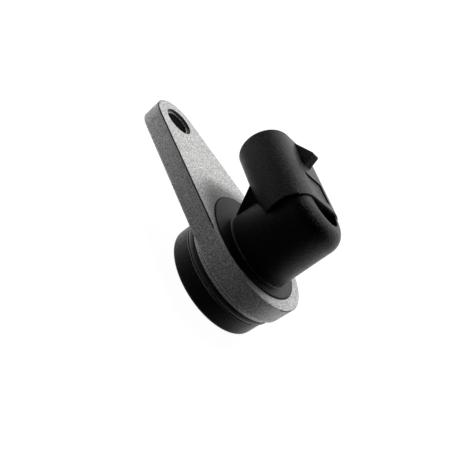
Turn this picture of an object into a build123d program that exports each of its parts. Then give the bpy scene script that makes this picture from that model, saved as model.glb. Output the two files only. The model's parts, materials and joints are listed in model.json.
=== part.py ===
from build123d import *
import os

# Camshaft position sensor, in millimetres.
# The Z axis is the axis of the sensing tip, which points down. The origin is the centre of the face
# that seats on the engine, the bolt ear points along +X, and the connector barrel lies on its side.

os.makedirs("parts", exist_ok=True)

# Bracket
flange_radius = 16.5
flange_thickness = 5.6
ear_distance = 40.9
ear_radius = 7.3
bolt_hole_radius = 3.4
bolt_hole_chamfer = 0.85
bracket_edge = 0.15
pilot_radius = 15.7
pilot_height = 1.5

# Seal
ring_section = 1.85
ring_side_room = 0.1
ring_proud = 0.05
ring_floor_radius = 13.85

# Neck of the moulding in the bracket's bore, with its anchors
mould_gap = 0.03
neck_radius = 12.5
anchor_depth = 0.9
anchor_low = 2.0
anchor_width = 1.4
key_width = 3.0

# Tip cap
cap_radius = 15.4
cap_height = 5.55
cap_edge_round = 1.2
tip_wall = 1.0
cap_bore_radius = 9.5
spigot_wall = 1.2
spigot_height = 3.0
slip_gap = 0.05

# Foot and column of the housing
foot_radius = 14.6
foot_offset = 1.5
foot_sink = 1.2
foot_rise = 0.25
foot_edge_round = 0.2
foot_seam_width = 0.15
foot_seam_depth = 0.5
column_radius = 10.25
column_draft = 2.0
column_top = 25.25
column_top_round = 4.5
column_base_round = 0.5

# Connector barrel
barrel_angle = -29.0
barrel_axis_height = 19.1
barrel_side_radius = 6.65
barrel_flat_width = 9.0
barrel_length = 22.45
barrel_flare = 1.0
barrel_rim_round = 0.4
barrel_rear_round = 0.3
barrel_wall = 1.6
socket_depth = 14.2
socket_lead_in = 0.4

# Details on the barrel and the column
ramp_width = 2.5
ramp_height = 3.6
ramp_toe_setback = 0.25
ramp_peak = 14.5
ramp_heel = 13.0
ramp_round = 0.6
ramp_base_round = 0.4
pad_width = 8.0
pad_start = 2.2
pad_length = 7.0
pad_depth = 0.2
relief_radius = 5.3
relief_depth = 3.0
relief_lip_round = 0.3
rib_width = 2.0
rib_foot_reach = 10.2
rib_top_reach = 18.0

# Chamber for the electronics
chamber_radius = 8.0
chamber_top = 10.0
socket_bore_top = 2.2

# Sensing parts
element_width = 4.1
element_length = 3.0
element_height = 1.5
magnet_radius = 3.0
magnet_length = 6.0
back_plate_thickness = 1.4
hub_wall = 2.0
carrier_floor = 0.4
carrier_plate = 1.4
carrier_side_gap = 0.2
lead_size = 0.4
lead_pitch = 1.27
lead_reach = 6.2
lead_bend = 0.5

# Board and its parts
board_thickness = 1.2
board_side_gap = 0.4
capacitor_length = 3.2
capacitor_width = 1.6
capacitor_place = 4.9
capacitor_offset = 2.24
pin_stick_out = 0.5

# Terminals
terminal_width = 1.5
terminal_thickness = 0.64
terminal_pitch = 5.0
terminal_setback = 2.0
terminal_bend = 1.2
terminal_recess = 3.2
terminal_point = 0.25
hole_gap = 0.1
solder_height = 0.6
solder_top_share = 0.7
terminal_solder_radius = 1.35
lead_solder_radius = 0.55

# Places that follow from the sizes
along = Vector(1, 0, 0).rotate(Axis.Z, barrel_angle)
across = Vector(0, 1, 0).rotate(Axis.Z, barrel_angle)
groove_width = ring_section + 2 * ring_side_room
cap_top = -pilot_height - groove_width
tip_z = cap_top - cap_height
floor_z = tip_z + tip_wall
foot_top = flange_thickness + foot_rise
barrel_top = barrel_axis_height + barrel_side_radius
ramp_toe = barrel_length - ramp_toe_setback
socket_bore_radius = cap_bore_radius + spigot_wall + slip_gap
element_low = floor_z + slip_gap
element_high = element_low + element_height
magnet_low = element_high + carrier_floor
magnet_high = magnet_low + magnet_length
plate_high = magnet_high + back_plate_thickness
board_low = plate_high + slip_gap
board_high = board_low + board_thickness
board_radius = chamber_radius - board_side_gap
pin_top = board_high + pin_stick_out
hub_bore_radius = magnet_radius + slip_gap
lead_middle = element_low + element_height / 2


# Plane whose first axis runs along the barrel and whose second axis is up, at a place across the barrel.
def side_plane(place_across):
    return Plane(origin=across * place_across, x_dir=along, z_dir=-across)


# Plane square to the barrel at a distance from the sensor's axis, with its first axis across the barrel.
def barrel_plane(distance):
    return Plane(origin=along * distance + Vector(0, 0, barrel_axis_height), x_dir=across, z_dir=along)


# Circle edges of one radius, as found by the selectors of a part.
def circles(edges, radius):
    return edges.filter_by(GeomType.CIRCLE).filter_by(lambda edge: abs(edge.radius - radius) < 0.001)


# Edge where the ramp's back meets the barrel.
def is_ramp_heel(edge):
    middle = edge.center()
    near_heel = abs(middle.dot(along) - ramp_heel) < 0.3 and abs(middle.dot(across)) < 0.1
    return near_heel and abs(middle.Z - barrel_top) < 1 and abs(edge.length - ramp_width) < 0.01


# Bent blade from the board up the column and along the barrel, grown on every side by a gap.
def terminal_blade(place_across, gap):
    tip = barrel_length - terminal_recess
    bottom = board_low + slip_gap
    with BuildPart() as blade:
        with BuildSketch(side_plane(place_across)):
            with BuildLine():
                FilletPolyline(
                    (-terminal_setback, bottom - gap),
                    (-terminal_setback, barrel_axis_height),
                    (tip + gap, barrel_axis_height),
                    radius=terminal_bend,
                )
            trace(line_width=terminal_thickness + 2 * gap)
        extrude(amount=terminal_width / 2 + gap, both=True)
        if gap == 0:
            chamfer(blade.faces().sort_by(Axis(along * 0, along))[-1].edges(), length=terminal_point)
    return blade.part


# Leg of the sensing element, out to one side and up through the board, grown on every side by a gap.
def element_leg(place, gap):
    with BuildPart() as leg:
        with BuildSketch(Plane.YZ.offset(place)):
            with BuildLine():
                FilletPolyline(
                    (-element_length / 2 + gap, lead_middle),
                    (-lead_reach, lead_middle),
                    (-lead_reach, pin_top + gap),
                    radius=lead_bend,
                )
            trace(line_width=lead_size + 2 * gap)
        extrude(amount=lead_size / 2 + gap, both=True)
    return leg.part


terminal_places = {"supply": -terminal_pitch, "ground": 0.0, "output": terminal_pitch}
lead_places = {"supply": -lead_pitch, "ground": 0.0, "output": lead_pitch}
terminal_holes = [terminal_blade(place, mould_gap) for place in terminal_places.values()]
lead_holes = [element_leg(place, hole_gap) for place in lead_places.values()]

# Bracket: flange and ear in one outline, pilot ring below, bore with an anchor groove and keyways
with BuildPart() as mounting_bracket:
    with BuildSketch():
        Circle(flange_radius)
        with Locations((ear_distance, 0)):
            Circle(ear_radius)
        make_hull()
    extrude(amount=flange_thickness)
    chamfer(mounting_bracket.edges().group_by(Axis.Z)[-1], length=bracket_edge)
    with BuildSketch(Plane.XY.offset(-pilot_height)):
        Circle(pilot_radius)
    extrude(amount=pilot_height)
    chamfer(mounting_bracket.edges().group_by(Axis.Z)[0], length=bracket_edge)
    with BuildSketch(Plane.XY.offset(flange_thickness)):
        with Locations((foot_offset, 0)):
            Circle(foot_radius + mould_gap)
    extrude(amount=-foot_sink, mode=Mode.SUBTRACT)
    with BuildSketch(Plane.XY.offset(flange_thickness)):
        with Locations((foot_offset, 0)):
            Circle(foot_radius + foot_seam_width)
    extrude(amount=-foot_seam_depth, mode=Mode.SUBTRACT)
    with BuildSketch(Plane.XY.offset(-pilot_height)):
        Circle(neck_radius + mould_gap)
    extrude(amount=pilot_height + flange_thickness, mode=Mode.SUBTRACT)
    with BuildSketch(Plane.XY.offset(anchor_low)):
        Circle(neck_radius + anchor_depth + mould_gap)
    extrude(amount=anchor_width, mode=Mode.SUBTRACT)
    with BuildSketch(Plane.XY.offset(anchor_low)):
        with PolarLocations(neck_radius, 2, start_angle=-45, angular_range=180):
            Rectangle(2 * (anchor_depth + mould_gap), key_width + 2 * mould_gap)
    extrude(amount=flange_thickness - anchor_low, mode=Mode.SUBTRACT)
    with Locations((ear_distance, 0, flange_thickness)):
        Hole(bolt_hole_radius)
    chamfer(circles(mounting_bracket.edges(), bolt_hole_radius), length=bolt_hole_chamfer)

# Outside of the connector barrel, before it joins the housing
with BuildPart() as barrel:
    with BuildSketch(barrel_plane(0)):
        SlotCenterToCenter(barrel_flat_width, 2 * barrel_side_radius)
    extrude(amount=barrel_length, taper=-barrel_flare)
    ends = barrel.faces().sort_by(Axis(along * 0, along))
    fillet(ends[0].edges(), radius=barrel_rear_round)
    fillet(ends[-1].edges(), radius=barrel_rim_round)

# Housing: foot, column, neck, connector barrel and its details in one moulding
with BuildPart() as sensor_housing:
    with BuildSketch(Plane.XY.offset(flange_thickness - foot_sink)):
        with Locations((foot_offset, 0)):
            Circle(foot_radius)
    extrude(amount=foot_sink + foot_rise)
    fillet(circles(sensor_housing.edges(), foot_radius).sort_by(Axis.Z)[-1], radius=foot_edge_round)
    with BuildSketch(Plane.XY.offset(foot_top)):
        Circle(column_radius)
    extrude(amount=column_top - foot_top, taper=column_draft)
    fillet(sensor_housing.edges().sort_by(Axis.Z)[-1], radius=column_top_round)
    with BuildSketch(Plane.XY.offset(column_top)):
        Circle(relief_radius)
    extrude(amount=-relief_depth, mode=Mode.SUBTRACT)
    fillet(circles(sensor_housing.edges(), relief_radius).sort_by(Axis.Z)[-1], radius=relief_lip_round)
    fillet(circles(sensor_housing.edges(), column_radius), radius=column_base_round)
    with BuildSketch(Plane.XY.offset(cap_top)):
        Circle(ring_floor_radius)
    extrude(amount=groove_width)
    with BuildSketch(Plane.XY.offset(-pilot_height)):
        Circle(neck_radius)
    extrude(amount=pilot_height + flange_thickness)
    with BuildSketch(Plane.XY.offset(anchor_low + mould_gap)):
        Circle(neck_radius + anchor_depth)
    extrude(amount=anchor_width - 2 * mould_gap)
    with BuildSketch(Plane.XY.offset(anchor_low + mould_gap)):
        with PolarLocations(neck_radius, 2, start_angle=-45, angular_range=180):
            Rectangle(2 * anchor_depth, key_width)
    extrude(amount=flange_thickness - anchor_low)
    add(barrel.part)
    with BuildSketch(Plane.XZ):
        with BuildLine():
            Polyline(
                (0, foot_top - column_base_round),
                (rib_foot_reach, foot_top - column_base_round),
                (rib_top_reach, barrel_axis_height),
                (0, barrel_axis_height),
                close=True,
            )
        make_face()
    extrude(amount=rib_width / 2, both=True)
    with BuildSketch(side_plane(0)):
        with BuildLine():
            Polyline(
                (ramp_heel, barrel_axis_height),
                (ramp_heel, barrel_top),
                (ramp_peak, barrel_top + ramp_height),
                (ramp_toe, barrel_top),
                (ramp_toe, barrel_axis_height),
                close=True,
            )
        make_face()
    extrude(amount=ramp_width / 2, both=True)
    peak = sensor_housing.edges().sort_by(Axis.Z)[-1]
    fillet(peak, radius=ramp_round)
    heel = sensor_housing.edges().filter_by(is_ramp_heel)
    fillet(heel, radius=ramp_base_round)
    with BuildSketch(side_plane(0)):
        with Locations((pad_start + pad_length / 2, barrel_top + pad_depth)):
            Rectangle(pad_length, 4 * pad_depth)
    extrude(amount=pad_width / 2, both=True, mode=Mode.SUBTRACT)
    with BuildSketch(barrel_plane(barrel_length)):
        SlotCenterToCenter(barrel_flat_width, 2 * (barrel_side_radius - barrel_wall))
    extrude(amount=-socket_depth, mode=Mode.SUBTRACT)
    rim = sensor_housing.faces().sort_by(Axis(along * 0, along))[-1]
    chamfer(rim.inner_wires()[0].edges(), length=socket_lead_in)
    with BuildSketch(Plane.XY.offset(cap_top)):
        Circle(socket_bore_radius)
    extrude(amount=socket_bore_top - cap_top, mode=Mode.SUBTRACT)
    with BuildSketch(Plane.XY.offset(socket_bore_top)):
        Circle(chamber_radius)
    extrude(amount=chamber_top - socket_bore_top, mode=Mode.SUBTRACT)
    for hole in terminal_holes:
        add(hole, mode=Mode.SUBTRACT)

# Seal ring
with BuildPart() as seal_ring:
    with BuildSketch(Plane.XZ):
        with Locations((pilot_radius + ring_proud - ring_section / 2, -pilot_height - groove_width / 2)):
            Circle(ring_section / 2)
    revolve(axis=Axis.Z)

# Tip cap: thick puck with a thin face and a spigot that plugs the housing's bore
with BuildPart() as sensor_cap:
    with BuildSketch(Plane.XY.offset(tip_z)):
        Circle(cap_radius)
    extrude(amount=cap_height)
    fillet(sensor_cap.edges().sort_by(Axis.Z)[0], radius=cap_edge_round)
    with BuildSketch(Plane.XY.offset(cap_top)):
        Circle(cap_bore_radius + spigot_wall)
    extrude(amount=spigot_height)
    with BuildSketch(Plane.XY.offset(floor_z)):
        Circle(cap_bore_radius)
    extrude(amount=spigot_height - floor_z, mode=Mode.SUBTRACT)

# Carrier: lower plate over the element, hub round the magnet, upper plate under the board
with BuildPart() as carrier:
    with BuildSketch(Plane.XY.offset(element_low)):
        Circle(cap_bore_radius - carrier_side_gap)
    extrude(amount=magnet_low - element_low)
    with BuildSketch(Plane.XY.offset(element_low)):
        Circle(hub_bore_radius + hub_wall)
    extrude(amount=plate_high - element_low)
    with BuildSketch(Plane.XY.offset(plate_high - carrier_plate)):
        Circle(board_radius)
    extrude(amount=carrier_plate)
    with BuildSketch(Plane.XY.offset(magnet_low)):
        Circle(hub_bore_radius)
    extrude(amount=magnet_length + back_plate_thickness, mode=Mode.SUBTRACT)
    with BuildSketch(Plane.XY.offset(element_low)):
        Rectangle(element_width + 2 * hole_gap, element_length + 2 * hole_gap)
    extrude(amount=element_height, mode=Mode.SUBTRACT)
    for hole in lead_holes:
        add(hole, mode=Mode.SUBTRACT)

# Magnet and the steel plate behind it
with BuildPart() as bias_magnet:
    with BuildSketch(Plane.XY.offset(magnet_low)):
        Circle(magnet_radius)
    extrude(amount=magnet_length)

with BuildPart() as back_plate:
    with BuildSketch(Plane.XY.offset(magnet_high)):
        Circle(magnet_radius)
    extrude(amount=back_plate_thickness)

# Sensing element: moulded chip body
with BuildPart() as hall_element:
    with BuildSketch(Plane.XY.offset(element_low)):
        Rectangle(element_width, element_length)
    extrude(amount=element_height)
    chamfer(hall_element.edges().group_by(Axis.Z)[-1], length=hole_gap)

# Board with holes for the terminals and the legs
with BuildPart() as circuit_board:
    with BuildSketch(Plane.XY.offset(board_low)):
        Circle(board_radius)
    extrude(amount=board_thickness)
    for place in terminal_places.values():
        spot = across * place - along * terminal_setback
        with BuildSketch(Plane(origin=spot + Vector(0, 0, board_low), x_dir=along)):
            Rectangle(terminal_thickness + 2 * hole_gap, terminal_width + 2 * hole_gap)
        extrude(amount=board_thickness, mode=Mode.SUBTRACT)
    for hole in lead_holes:
        add(hole, mode=Mode.SUBTRACT)


# Ceramic chip capacitor on the board, at a place along Y
def chip_capacitor(place):
    with BuildPart() as chip:
        with BuildSketch(Plane.XY.offset(board_high)):
            with Locations((capacitor_place, place)):
                Rectangle(capacitor_width, capacitor_length)
        extrude(amount=capacitor_width)
        chamfer(chip.edges().group_by(Axis.Z)[-1], length=hole_gap)
    return chip


supply_capacitor = chip_capacitor(-capacitor_offset)
output_capacitor = chip_capacitor(capacitor_offset)


# Solder cone round one pin on the board, with the pin's own hole
def solder_cone(spot, radius, pin):
    with BuildPart() as cone:
        with BuildSketch(Plane(origin=spot + Vector(0, 0, board_high))):
            Circle(radius)
        with BuildSketch(Plane(origin=spot + Vector(0, 0, board_high + solder_height))):
            Circle(radius * solder_top_share)
        loft()
        add(pin, mode=Mode.SUBTRACT)
    return cone.part


pieces = {
    "mounting_bracket": mounting_bracket.part,
    "sensor_housing": sensor_housing.part,
    "seal_ring": seal_ring.part,
    "sensor_cap": sensor_cap.part,
    "carrier": carrier.part,
    "bias_magnet": bias_magnet.part,
    "back_plate": back_plate.part,
    "hall_element": hall_element.part,
    "circuit_board": circuit_board.part,
    "supply_capacitor": supply_capacitor.part,
    "output_capacitor": output_capacitor.part,
}
for name, place in terminal_places.items():
    pieces["terminal_" + name] = terminal_blade(place, 0)
    spot = across * place - along * terminal_setback
    pieces["solder_terminal_" + name] = solder_cone(spot, terminal_solder_radius, terminal_blade(place, 0))
for name, place in lead_places.items():
    pieces["hall_lead_" + name] = element_leg(place, 0)
    spot = Vector(place, -lead_reach, 0)
    pieces["solder_lead_" + name] = solder_cone(spot, lead_solder_radius, element_leg(place, 0))

# Potting over the board, round everything that stands on it
with BuildPart() as potting:
    with BuildSketch(Plane.XY.offset(board_high)):
        Circle(chamber_radius - mould_gap)
    extrude(amount=chamber_top - board_high)
    for name, piece in pieces.items():
        if name.startswith(("terminal", "solder", "hall_lead")) or name.endswith("capacitor"):
            add(piece, mode=Mode.SUBTRACT)
pieces["potting"] = potting.part

for name, piece in pieces.items():
    piece.label = name
    export_step(piece, "parts/" + name + ".step")
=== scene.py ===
import bpy
import json
import math
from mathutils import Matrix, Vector


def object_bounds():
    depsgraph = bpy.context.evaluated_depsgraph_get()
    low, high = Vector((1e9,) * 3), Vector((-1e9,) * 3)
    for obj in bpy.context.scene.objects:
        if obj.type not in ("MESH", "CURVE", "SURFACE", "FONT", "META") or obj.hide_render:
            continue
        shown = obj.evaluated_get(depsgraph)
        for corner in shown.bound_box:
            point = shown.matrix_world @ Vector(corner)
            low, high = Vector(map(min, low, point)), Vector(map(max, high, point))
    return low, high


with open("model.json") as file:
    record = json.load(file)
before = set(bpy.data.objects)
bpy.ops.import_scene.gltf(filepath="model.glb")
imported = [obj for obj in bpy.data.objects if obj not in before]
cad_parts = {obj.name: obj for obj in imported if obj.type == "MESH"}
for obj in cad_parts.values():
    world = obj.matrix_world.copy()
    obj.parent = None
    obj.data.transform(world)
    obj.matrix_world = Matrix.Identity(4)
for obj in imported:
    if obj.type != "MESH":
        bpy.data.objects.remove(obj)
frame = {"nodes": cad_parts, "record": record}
cad_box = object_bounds()
MM = 0.001
WHITE = (1.0, 1.0, 1.0, 1.0)

# Camera at the photograph's viewing angle: place in metres, turn in degrees, lens and sensor in millimetres
CAMERA_PLACE = (-0.01467, 0.10317, 0.04645)
CAMERA_TURN = (54.470, -48.001, -138.540)
CAMERA_LENS = 35.84
CAMERA_SENSOR = 36.0
CAMERA_NEAR = 0.005

# Studio: white behind the object, dim on the camera's side, as the dark near faces in the photograph show.
# Both bounds are cosines of the angle between a direction of light and the direction to the camera.
TO_CAMERA = (-0.215, 0.896, 0.389)
FULL_LIGHT_UNTIL = -0.4
NO_LIGHT_FROM = 0.05

# Floor: its own colour takes the shadow, and the lift makes it white to the camera. In reflections the
# lift fades out within FLOOR_NEAR_FADE metres toward the camera.
FLOOR_SIZE = 40.0
FLOOR_COLOR = (0.18, 0.18, 0.18)
FLOOR_ROUGHNESS = 0.9
FLOOR_LIFT = 0.97
FLOOR_NEAR_FADE = 0.02

# Lamps: direction from the object, level and angular width in degrees
KEY_DIRECTION = (0.2, -0.5, 0.8)
KEY_LEVEL = 0.42
KEY_ANGLE = 30.0
SIDE_DIRECTION = (0.9, 0.4, 0.0)
SIDE_LEVEL = 0.45
SIDE_ANGLE = 40.0

# Grain: detail and roughness of the noise, the part of its range that the shades are spread over, and its
# fourth coordinate, which is no whole number so that faces on the noise's own grid have grain as well
GRAIN_DETAIL = 2.0
GRAIN_ROUGHNESS = 0.6
GRAIN_LOW = 0.42
GRAIN_HIGH = 0.58
GRAIN_FOURTH = 0.5

# Ring-shaped zones of painted shade and painted highlight, in millimetres in the part's frame: x and y of an
# upright axis, inner and outer radius, lowest and highest point. The last number is the factor on the colour
# there. FAR lies outside the part.
FAR = 100.0
# Painted shade: a dark line along the top edge of the ear's side faces.
EAR_EDGE_PAINTED_SHADE = ((0.0, 0.0, 17.0, FAR, 5.25, 5.595), 0.1)
# Painted shade: a dark line along the top edge of the flange's side, at its end away from the ear.
FLANGE_EDGE_PAINTED_SHADE = ((-16.0, -4.0, 0.0, 11.0, 5.3, 5.595), 0.3)
# Painted shade: a dark ring on the metal around the plastic foot, where the gap between them lies in shade.
FOOT_SEAM_PAINTED_SHADE = ((1.5, 0.0, 14.5, 14.95, 5.0, 5.7), 0.1)
# Painted highlight: a light band along the bottom edge of the flange's side.
LOWER_EDGE_PAINTED_HIGHLIGHT = ((0.0, 0.0, 15.9, FAR, -0.01, 0.35), 1.5)
# Painted light: the pilot band under the flange is made lighter than the flange, standing in for light it
# catches there.
PILOT_PAINTED_LIGHT = ((0.0, 0.0, 0.0, 15.9, -1.6, -0.01), 1.3)
# Painted shadow: the top of the pilot, just under the flange's overhang, is darkened.
PILOT_TOP_PAINTED_SHADOW = ((0.0, 0.0, 0.0, 15.9, -0.6, -0.01), 0.15)
# Painted shade: the bolt hole's bore is darkened.
BOLT_HOLE_PAINTED_SHADE = ((40.9, 0.0, 0.0, 3.45, -0.1, 5.6), 0.05)
# Painted shade: the bolt hole's chamfer and rim are darkened.
BOLT_HOLE_EDGE_PAINTED_SHADE = ((40.9, 0.0, 3.45, 4.2, 5.0, 5.7), 0.2)
# Painted highlight: a light line along the fillet at the column's base.
COLUMN_BASE_PAINTED_HIGHLIGHT = ((0.0, 0.0, 10.2, 10.65, 5.8, 6.1), 12.0)
# Painted highlight: a light line along the cap's top edge.
CAP_EDGE_PAINTED_HIGHLIGHT = ((0.0, 0.0, 0.0, FAR, -3.8, -3.5), 40.0)

camera_data = bpy.data.cameras.new("camera")
camera_data.sensor_width = CAMERA_SENSOR
camera_data.lens = CAMERA_LENS
camera_data.clip_start = CAMERA_NEAR
camera = bpy.data.objects.new("camera", camera_data)
camera.location = CAMERA_PLACE
camera.rotation_euler = [math.radians(turn) for turn in CAMERA_TURN]
bpy.context.scene.collection.objects.link(camera)
bpy.context.scene.camera = camera


# Node that works out one number from up to three inputs, each a number or another node's output.
def math_node(tree, operation, *terms):
    node = tree.nodes.new("ShaderNodeMath")
    node.operation = operation
    for socket, term in zip(node.inputs, terms):
        if isinstance(term, (int, float)):
            socket.default_value = term
        else:
            tree.links.new(term, socket)
    return node.outputs[0]


# One where a value lies between a low and a high bound, else zero.
def between(tree, value, low, high):
    return math_node(tree, "COMPARE", value, (low + high) / 2, (high - low) / 2)


# One inside a ring-shaped zone, else zero.
def zone_mask(tree, place, zone):
    x, y, inner, outer, low, high = [size * MM for size in zone]
    axes = tree.nodes.new("ShaderNodeSeparateXYZ")
    tree.links.new(place, axes.inputs[0])
    across = math_node(tree, "POWER", math_node(tree, "SUBTRACT", axes.outputs["X"], x), 2.0)
    along = math_node(tree, "POWER", math_node(tree, "SUBTRACT", axes.outputs["Y"], y), 2.0)
    radius = math_node(tree, "SQRT", math_node(tree, "ADD", across, along))
    in_ring = between(tree, radius, inner, outer)
    in_height = between(tree, axes.outputs["Z"], low, high)
    return math_node(tree, "MULTIPLY", in_ring, in_height)


# A material of one finish, with grain in colour and relief that is fixed to the object. The grain is a share
# of the colour, its size and the relief's depth are in millimetres, and zones lists (zone, factor) pairs of
# painted shade and painted highlight.
def finish(name, color, roughness, metallic=0.0, specular=0.5, grain=0.0, grain_mm=0.3, relief=0.0, zones=()):
    material = bpy.data.materials.new(name)
    material.use_nodes = True
    tree = material.node_tree
    shader = tree.nodes["Principled BSDF"]
    shader.inputs["Base Color"].default_value = (*color, 1.0)
    shader.inputs["Roughness"].default_value = roughness
    shader.inputs["Metallic"].default_value = metallic
    shader.inputs["Specular IOR Level"].default_value = specular
    place = tree.nodes.new("ShaderNodeTexCoord").outputs["Object"]
    speckle = tree.nodes.new("ShaderNodeTexNoise")
    speckle.noise_dimensions = "4D"
    speckle.inputs["W"].default_value = GRAIN_FOURTH
    speckle.inputs["Scale"].default_value = 1.0 / (grain_mm * MM)
    speckle.inputs["Detail"].default_value = GRAIN_DETAIL
    speckle.inputs["Roughness"].default_value = GRAIN_ROUGHNESS
    tree.links.new(place, speckle.inputs["Vector"])
    shades = tree.nodes.new("ShaderNodeValToRGB")
    dark, light = shades.color_ramp.elements
    dark.position = GRAIN_LOW
    dark.color = (*[level * (1.0 - grain) for level in color], 1.0)
    light.position = GRAIN_HIGH
    light.color = (*[min(level * (1.0 + grain), 1.0) for level in color], 1.0)
    tree.links.new(speckle.outputs["Fac"], shades.inputs["Fac"])
    shade = shades.outputs["Color"]
    # Painted shade and painted highlights: each zone scales the colour by its factor.
    for zone, factor in zones:
        level = math_node(tree, "MULTIPLY_ADD", zone_mask(tree, place, zone), factor - 1.0, 1.0)
        scale = tree.nodes.new("ShaderNodeVectorMath")
        scale.operation = "SCALE"
        tree.links.new(shade, scale.inputs[0])
        tree.links.new(level, scale.inputs["Scale"])
        shade = scale.outputs["Vector"]
    tree.links.new(shade, shader.inputs["Base Color"])
    bump = tree.nodes.new("ShaderNodeBump")
    bump.inputs["Distance"].default_value = relief * MM
    tree.links.new(speckle.outputs["Fac"], bump.inputs["Height"])
    tree.links.new(bump.outputs["Normal"], shader.inputs["Normal"])
    return material


# Painted shade, painted shadow and painted highlights on the metal.
METAL_PAINTED_LIGHT_ZONES = (EAR_EDGE_PAINTED_SHADE, FLANGE_EDGE_PAINTED_SHADE, FOOT_SEAM_PAINTED_SHADE, LOWER_EDGE_PAINTED_HIGHLIGHT, PILOT_PAINTED_LIGHT, PILOT_TOP_PAINTED_SHADOW, BOLT_HOLE_PAINTED_SHADE, BOLT_HOLE_EDGE_PAINTED_SHADE)
METAL = dict(color=(0.5, 0.5, 0.495), roughness=0.5, metallic=0.5, grain=0.48, grain_mm=0.26, relief=0.06)
BLACK = dict(color=(0.005, 0.005, 0.005), roughness=0.3, specular=0.17, grain=0.3, grain_mm=0.3, relief=0.22)
SEAL = dict(color=(0.02, 0.02, 0.02), roughness=0.4, specular=0.8, grain=0.35, relief=0.15)
CARRIER = dict(color=(0.08, 0.08, 0.08), roughness=0.6, grain=0.1, relief=0.02)
MAGNET = dict(color=(0.12, 0.12, 0.13), roughness=0.45, metallic=0.7, grain=0.2, relief=0.03)
STEEL = dict(color=(0.5, 0.5, 0.52), roughness=0.35, metallic=1.0, grain=0.1, relief=0.01)
CHIP = dict(color=(0.02, 0.02, 0.024), roughness=0.6, grain=0.1, relief=0.02)
BOARD = dict(color=(0.02, 0.16, 0.05), roughness=0.4, grain=0.15, grain_mm=0.5, relief=0.01)
CERAMIC = dict(color=(0.45, 0.33, 0.2), roughness=0.5, grain=0.1, relief=0.01)
TERMINAL = dict(color=(0.72, 0.70, 0.64), roughness=0.3, metallic=1.0, grain=0.06, relief=0.005)
LEAD = dict(color=(0.72, 0.72, 0.71), roughness=0.3, metallic=1.0, grain=0.06, relief=0.005)
SOLDER = dict(color=(0.65, 0.66, 0.67), roughness=0.28, metallic=1.0, grain=0.08, relief=0.01)
RESIN = dict(color=(0.03, 0.03, 0.034), roughness=0.35, grain=0.1, relief=0.01)

finishes = {
    "sintered_metal": finish("sintered metal", **METAL, zones=METAL_PAINTED_LIGHT_ZONES),
    # The same black plastic twice: one with a painted highlight at the column's base, one with a painted
    # highlight at the cap's top edge.
    "black_plastic": finish("black plastic", **BLACK, zones=(COLUMN_BASE_PAINTED_HIGHLIGHT,)),
    "cap_plastic": finish("cap plastic", **BLACK, zones=(CAP_EDGE_PAINTED_HIGHLIGHT,)),
    "seal_rubber": finish("seal rubber", **SEAL),
    "carrier_plastic": finish("carrier plastic", **CARRIER),
    "magnet": finish("magnet", **MAGNET),
    "plate_steel": finish("plate steel", **STEEL),
    "chip_plastic": finish("chip plastic", **CHIP),
    "board": finish("board", **BOARD),
    "ceramic": finish("ceramic", **CERAMIC),
    "terminal_metal": finish("terminal metal", **TERMINAL),
    "lead_metal": finish("lead metal", **LEAD),
    "solder": finish("solder", **SOLDER),
    "potting_resin": finish("potting resin", **RESIN),
}
slots = {entry["node"]: entry["material_slot"] for entry in frame["record"]["subparts"]}
for name, node in frame["nodes"].items():
    node.data.materials.clear()
    node.data.materials.append(finishes[slots[name]])


# Share that falls smoothly from one to zero as a place or a direction moves to the camera's side.
def away_share(tree, where, full_until, none_from):
    dot = tree.nodes.new("ShaderNodeVectorMath")
    dot.operation = "DOT_PRODUCT"
    dot.inputs[1].default_value = TO_CAMERA
    tree.links.new(where, dot.inputs[0])
    share = tree.nodes.new("ShaderNodeMapRange")
    share.interpolation_type = "SMOOTHSTEP"
    share.inputs["From Min"].default_value = full_until
    share.inputs["From Max"].default_value = none_from
    share.inputs["To Min"].default_value = 1.0
    share.inputs["To Max"].default_value = 0.0
    tree.links.new(dot.outputs["Value"], share.inputs["Value"])
    return share.outputs["Result"]


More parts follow.
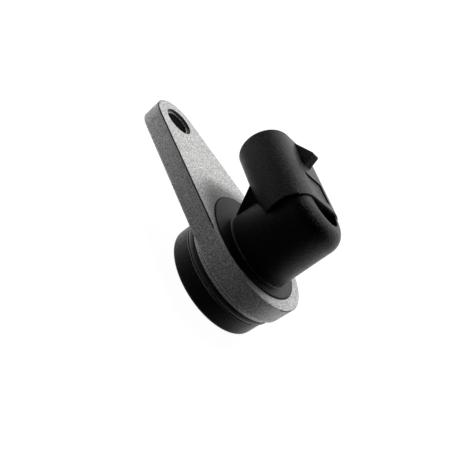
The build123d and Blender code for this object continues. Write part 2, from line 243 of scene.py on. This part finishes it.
# Material of the plain pale floor under the tip.
def floor_material():
    material = bpy.data.materials.new("pale floor")
    material.use_nodes = True
    tree = material.node_tree
    shader = tree.nodes["Principled BSDF"]
    shader.inputs["Base Color"].default_value = (*FLOOR_COLOR, 1.0)
    shader.inputs["Roughness"].default_value = FLOOR_ROUGHNESS
    shader.inputs["Specular IOR Level"].default_value = 0.0
    shader.inputs["Emission Color"].default_value = WHITE
    rays = tree.nodes.new("ShaderNodeLightPath")
    place = tree.nodes.new("ShaderNodeTexCoord")
    far = away_share(tree, place.outputs["Object"], 0.0, FLOOR_NEAR_FADE)
    reflected = math_node(tree, "MULTIPLY", rays.outputs["Is Glossy Ray"], far)
    seen = math_node(tree, "MAXIMUM", rays.outputs["Is Camera Ray"], rays.outputs["Is Transmission Ray"])
    seen = math_node(tree, "MAXIMUM", seen, reflected)
    tree.links.new(math_node(tree, "MULTIPLY", seen, FLOOR_LIFT), shader.inputs["Emission Strength"])
    return material


bpy.ops.mesh.primitive_plane_add(size=FLOOR_SIZE, location=(0.0, 0.0, cad_box[0].z))
floor = bpy.context.object
floor.name = "floor"
floor.data.materials.append(floor_material())

world = bpy.data.worlds.new("studio")
bpy.context.scene.world = world
world.use_nodes = True
tree = world.node_tree
background = tree.nodes["Background"]
background.inputs["Color"].default_value = WHITE
rays = tree.nodes.new("ShaderNodeLightPath")
place = tree.nodes.new("ShaderNodeTexCoord")
away = away_share(tree, place.outputs["Generated"], FULL_LIGHT_UNTIL, NO_LIGHT_FROM)
seen = math_node(tree, "MAXIMUM", rays.outputs["Is Camera Ray"], rays.outputs["Is Transmission Ray"])
tree.links.new(math_node(tree, "MAXIMUM", away, seen), background.inputs["Strength"])


# Wide soft lamp that shines from one direction, with or without a highlight of its own.
def lamp(name, direction, level, angle, highlight):
    data = bpy.data.lights.new(name, "SUN")
    data.energy = level * math.pi
    data.angle = math.radians(angle)
    lamp_object = bpy.data.objects.new(name, data)
    lamp_object.rotation_euler = Vector(direction).to_track_quat("Z", "Y").to_euler()
    lamp_object.visible_glossy = highlight
    bpy.context.scene.collection.objects.link(lamp_object)


lamp("key", KEY_DIRECTION, KEY_LEVEL, KEY_ANGLE, True)
lamp("side", SIDE_DIRECTION, SIDE_LEVEL, SIDE_ANGLE, False)

bpy.context.scene.view_settings.view_transform = "Standard"
